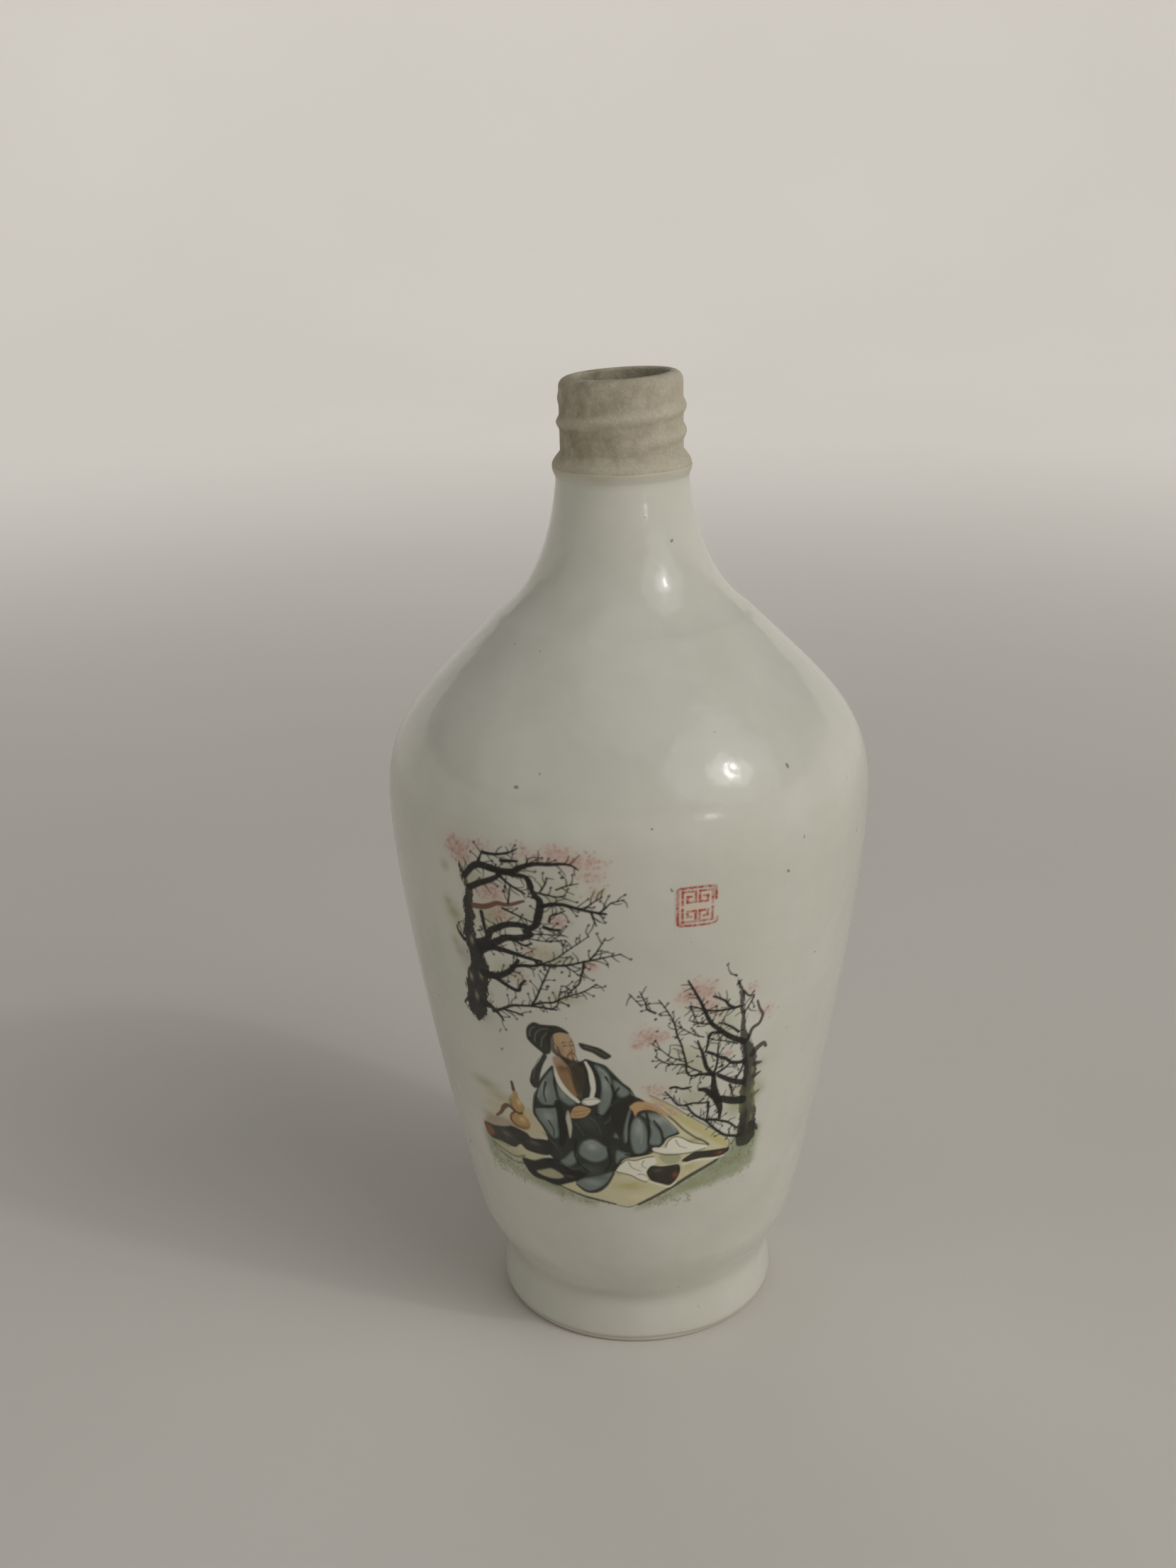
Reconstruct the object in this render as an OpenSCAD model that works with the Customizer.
// Porcelain liquor bottle: a swelling body on a low foot ring, a screw-thread neck left
// bare of glaze, a glaze coat outside and in, and printed transfers fired onto the front.
// Millimetres. Z is the bottle's axis, the foot rests on z = 0 and the picture faces -Y.

/* [Overall] */
// Height from the resting foot to the lip
bottle_h = 190; // [188:1:196]
// Largest diameter of the body
body_d = 93.6; // [91:0.2:96]
// Height of the largest diameter
body_widest_z = 110.5; // [108:0.5:113]

/* [Foot ring] */
// Largest diameter of the foot ring
foot_d = 56.6; // [56.2:0.2:58]
// Height of the groove where the foot meets the body
foot_h = 10; // [9.5:0.5:11]
// Diameter at the groove
groove_d = 55; // [54.4:0.2:55.6]
// Diameter of the hollow inside the foot ring
foot_hollow_d = 46; // [42:1:48]
// Depth of the hollow inside the foot ring
foot_hollow_h = 6; // [5:0.5:7]

/* [Shoulder and neck] */
// Diameter of the soft edge where the shoulder turns into the neck
shoulder_edge_d = 48.8; // [47:0.2:50]
// Height of that soft edge
shoulder_edge_z = 145.2; // [144:0.2:147]
// Diameter of the glazed neck just below the bead
neck_d = 25; // [24.6:0.2:25.4]
// Height at which the glaze stops
glaze_top_z = 170.5; // [169.5:0.5:171]

/* [Neck finish] */
// Diameter of the rounded bead under the thread
bead_d = 26; // [25.6:0.2:26.4]
// Height of the bead along the axis
bead_h = 5; // [4:0.5:5.5]
// Diameter of the neck under the thread
thread_core_d = 23; // [22.6:0.2:23.2]
// Diameter over the thread
thread_crest_d = 24.2; // [24:0.2:24.8]
// Rise of the thread in one turn
thread_pitch = 4.6; // [4:0.1:5]
// Number of turns of the thread
thread_turns = 1.9; // [1.5:0.1:2]
// Diameter of the mouth's straight bore
mouth_bore_d = 18; // [17:0.5:18.5]

/* [Walls] */
// Thickness of the cast porcelain wall
wall = 4.5; // [4:0.25:5]
// Thickness of the porcelain floor
floor_t = 6; // [5:0.5:7]
// Thickness of the outer glaze
glaze_t = 0.3; // [0.2:0.05:0.4]
// Thickness of the glaze lining
lining_t = 0.25; // [0.2:0.05:0.3]

/* [Printed transfers] */
// Thickness of the fired enamel
enamel_t = 0.1; // [0.05:0.05:0.15]
// Bearing of the picture's left edge, in degrees from the front
picture_left = -53; // [-56:1:-50]
// Bearing of the picture's right edge
picture_right = 40; // [38:1:44]
// Bearing where the tall left part of the picture ends
picture_step = 2; // [0:1:4]
// Height of the picture's lower edge
picture_bottom_z = 35; // [33:1:37]
// Height of the picture's upper edge on the right
picture_right_top_z = 91; // [89:1:93]
// Height of the picture's upper edge on the left
picture_left_top_z = 116; // [114:1:117]
// Bearing of the seal's middle
seal_middle = 14.8; // [14:0.2:17]
// Width of the seal, in degrees
seal_width = 10.4; // [9:0.2:12]
// Height of the seal's lower edge
seal_bottom_z = 98.2; // [95:0.2:99]
// Height of the seal
seal_h = 8.4; // [8:0.2:12]

/* [Hidden] */
$fn = 96;

// Straight steps in one curve of the outline
CURVE_STEPS = 12;
// Steps in one turn of the thread, and in the bead
THREAD_STEPS = 30;
BEAD_STEPS = 10;
// A bearing of 0 is the front, which faces -Y
FRONT = 270;

foot_r = foot_d / 2;
groove = [groove_d / 2, foot_h];
heel = [groove_d / 2 + 5.1, foot_h + 11];
belly = [body_d / 2, body_widest_z];
shoulder_edge = [shoulder_edge_d / 2, shoulder_edge_z];
neck_end = [neck_d / 2, glaze_top_z];

// Resting face of the foot ring, bare of glaze, and the height where the glaze starts
foot_edge_round = 0.8;
foot_glaze_z = 1;

// Each curve of the outline is a cubic with its two ends and two handles, as [radius, height]
foot_curve = [[foot_r, foot_glaze_z], [foot_r + 0.1, 4], groove + [0, -3], groove];
heel_curve = [groove, groove + [0, 3], heel - [2.2, 6], heel];
belly_curve = [heel, heel + [2.4, 8.1], belly - [0, 21.5], belly];
shoulder_curve = [belly, belly + [0, 14.5], shoulder_edge + [15.8, -15.8], shoulder_edge];
neck_curve = [shoulder_edge, shoulder_edge + [-6, 4.4], neck_end + [1.5, -14], neck_end];

function cubic(c, t) =
    pow(1 - t, 3) * c[0] + 3 * pow(1 - t, 2) * t * c[1]
    + 3 * (1 - t) * pow(t, 2) * c[2] + pow(t, 3) * c[3];
function cubic_way(c, t) =
    pow(1 - t, 2) * (c[1] - c[0]) + 2 * (1 - t) * t * (c[2] - c[1])
    + pow(t, 2) * (c[3] - c[2]);
// Unit vector out of the bottle, square to a curve that climbs
function outward(c, t) = let (way = cubic_way(c, t)) [way[1], -way[0]] / norm(way);
function steps(first = 0, last = CURVE_STEPS) = [for (i = [first : last]) i / CURVE_STEPS];
// A curve moved towards the axis by a depth that goes from one value to another
function inset(c, at, depth_low, depth_high) =
    [for (t = at) cubic(c, t) - outward(c, t) * (depth_low + t * (depth_high - depth_low))];
function reversed(list) = [for (i = [len(list) - 1 : -1 : 0]) list[i]];

INNER = steps(1, CURVE_STEPS - 1);
// The outline of foot and body at one depth under the glaze's surface
function foot_line(depth) =
    concat(inset(foot_curve, steps(0, CURVE_STEPS - 1), depth, depth), [groove - [depth, 0]]);
function body_line(depth) =
    concat([groove - [depth, 0]],
           inset(heel_curve, INNER, depth, depth),
           inset(belly_curve, steps(), depth, depth),
           inset(shoulder_curve, INNER, depth, depth),
           inset(neck_curve, steps(), depth, depth));

// The cavity: a flat floor with a round corner, then the outline moved in by the wall,
// which thins up the neck until it meets the straight bore
bore_r = mouth_bore_d / 2;
neck_wall = neck_d / 2 - bore_r;
floor_top_z = foot_hollow_h + floor_t;
function cavity_line(depth) =
    let (skin = glaze_t + wall + depth,
         neck_skin = neck_wall + depth,
         low = inset(belly_curve, [0], skin, skin)[0])
    concat([for (t = steps()) cubic([[low[0] - 10, floor_top_z + depth],
                                     [low[0] - 4, floor_top_z + depth],
                                     low - [1.5, 5], low], t)],
           inset(belly_curve, steps(1), skin, skin),
           inset(shoulder_curve, INNER, skin, skin),
           inset(neck_curve, steps(), skin, neck_skin));

// The neck finish above the glaze: a rounded bead, the core under the thread and the lip
core_r = thread_core_d / 2;
bead_low_z = glaze_top_z + 0.3;
lip_round = 1;
lip_middle = [core_r - lip_round - 0.2, bottle_h - lip_round];
function bead_point(i) =
    let (t = i / BEAD_STEPS,
         base = (1 - t) * (neck_d / 2 - glaze_t) + t * core_r,
         swell = bead_d / 2 - (neck_d / 2 - glaze_t + core_r) / 2)
    [base + swell * pow(sin(180 * t), 2), bead_low_z + t * bead_h];
function finish_line() =
    concat([for (i = [0 : BEAD_STEPS]) bead_point(i)],
           [for (a = [0 : 15 : 90]) lip_middle + lip_round * [cos(a), sin(a)]],
           [for (a = [15 : 15 : 90]) [bore_r + lip_round * (1 - sin(a)),
                                      bottle_h - lip_round * (1 - cos(a))]]);

// The thread: a low rounded ridge wound round the core, fading out at both ends
thread_start = -20;
thread_low_z = bead_low_z + bead_h + 1.8;
thread_count = ceil(thread_turns * THREAD_STEPS);
thread_root = 0.45;
thread_half_w = 1.7;
thread_fade = 0.12;
function thread_rise(u) = (thread_crest_d / 2 - core_r) * min(1, min(u, 1 - u) / thread_fade);
function thread_section(u) =
    let (rise = thread_rise(u))
    [[core_r - thread_root, -thread_half_w],
     [core_r + rise * 0.6, -thread_half_w * 0.5],
     [core_r + rise, -thread_half_w * 0.15],
     [core_r + rise, thread_half_w * 0.15],
     [core_r + rise * 0.6, thread_half_w * 0.5],
     [core_r - thread_root, thread_half_w]];
function thread_ring(k) =
    let (u = k / thread_count,
         turn = FRONT + thread_start + 360 * thread_turns * u,
         lift = thread_low_z + thread_pitch * thread_turns * u)
    [for (p = thread_section(u)) [p[0] * cos(turn), p[0] * sin(turn), p[1] + lift]];

module thread() {
    sides = 6;
    points = [for (k = [0 : thread_count]) each thread_ring(k)];
    walls = [for (k = [0 : thread_count - 1], s = [0 : sides - 1])
        let (a = k * sides + s, b = k * sides + (s + 1) % sides)
        each [[a, b + sides, b], [a, a + sides, b + sides]]];
    first_cap = [for (s = [0 : sides - 1]) s];
    last_cap = [for (s = [sides - 1 : -1 : 0]) thread_count * sides + s];
    polyhedron(points = points, faces = concat(walls, [first_cap], [last_cap]));
}

// The cast body: floor, wall, neck, bead, core and lip in one outline, with the straight
// bore down to the glaze's upper edge, and the thread on it
module porcelain_body() {
    spigot_r = foot_hollow_d / 2;
    color("#a39c8b") union() {
        rotate_extrude()
            polygon(concat([[0, foot_hollow_h], [spigot_r, foot_hollow_h], [spigot_r, foot_h]],
                           body_line(glaze_t), finish_line(), [[bore_r, glaze_top_z]],
                           reversed(cavity_line(0)), [[0, floor_top_z]]));
        thread();
    }
}

// The foot ring, made apart and luted under the body, with a bare flat resting face
module foot_ring() {
    bare_r = foot_r - glaze_t;
    color("#b4aa9b")
        rotate_extrude()
            polygon(concat([[foot_hollow_d / 2, foot_edge_round],
                            [foot_hollow_d / 2 + foot_edge_round, 0],
                            [bare_r - foot_edge_round, 0],
                            [bare_r, foot_edge_round]],
                           foot_line(glaze_t), [[foot_hollow_d / 2, foot_h]]));
}

// The outer glaze: a thin even coat from just above the resting face to under the bead
module outer_glaze() {
    color("#d7dad3")
        rotate_extrude()
            polygon(concat(foot_line(0), body_line(0),
                           reversed(body_line(glaze_t)), reversed(foot_line(glaze_t))));
}

// The glaze lining of the cavity, which stops at the foot of the straight bore
module inner_glaze() {
    color("#cfd2ca")
        rotate_extrude()
            polygon(concat([[0, floor_top_z]], cavity_line(0),
                           reversed(cavity_line(lining_t)), [[0, floor_top_z + lining_t]]));
}

// The glazed surface as points with their outward vectors, for the enamel that lies on it
surface = concat([for (t = steps()) [cubic(belly_curve, t), outward(belly_curve, t)]],
                 [for (t = steps(1)) [cubic(shoulder_curve, t), outward(shoulder_curve, t)]]);
function lifted(i, lift) = surface[i][0] + lift * surface[i][1];
// The point of the surface at one height, on the straight step that holds that height
function at_height(z, lift) =
    let (i = [for (k = [0 : len(surface) - 2]) if (surface[k + 1][0][1] > z) k][0],
         u = (z - surface[i][0][1]) / (surface[i + 1][0][1] - surface[i][0][1]))
    (1 - u) * lifted(i, lift) + u * lifted(i + 1, lift);
function band_line(low_z, high_z, lift) =
    concat([at_height(low_z, lift)],
           [for (k = [0 : len(surface) - 1])
               if (surface[k][0][1] > low_z && surface[k][0][1] < high_z) lifted(k, lift)],
           [at_height(high_z, lift)]);

// A patch of enamel on the glaze, between two bearings and two heights
module enamel_patch(left, right, low_z, high_z) {
    rotate_extrude(angle = right - left, start = FRONT + left)
        polygon(concat(band_line(low_z, high_z, enamel_t),
                       reversed(band_line(low_z, high_z, 0))));
}

// The picture: one printed sheet, taller on its left
module picture_transfer() {
    color("#7d8a86") union() {
        enamel_patch(picture_left, picture_step, picture_bottom_z, picture_left_top_z);
        enamel_patch(picture_step, picture_right, picture_bottom_z, picture_right_top_z);
    }
}

// The red seal above the picture on the right
module seal_transfer() {
    color("#b5482f")
        enamel_patch(seal_middle - seal_width / 2, seal_middle + seal_width / 2,
                     seal_bottom_z, seal_bottom_z + seal_h);
}

porcelain_body();
foot_ring();
outer_glaze();
inner_glaze();
picture_transfer();
seal_transfer();
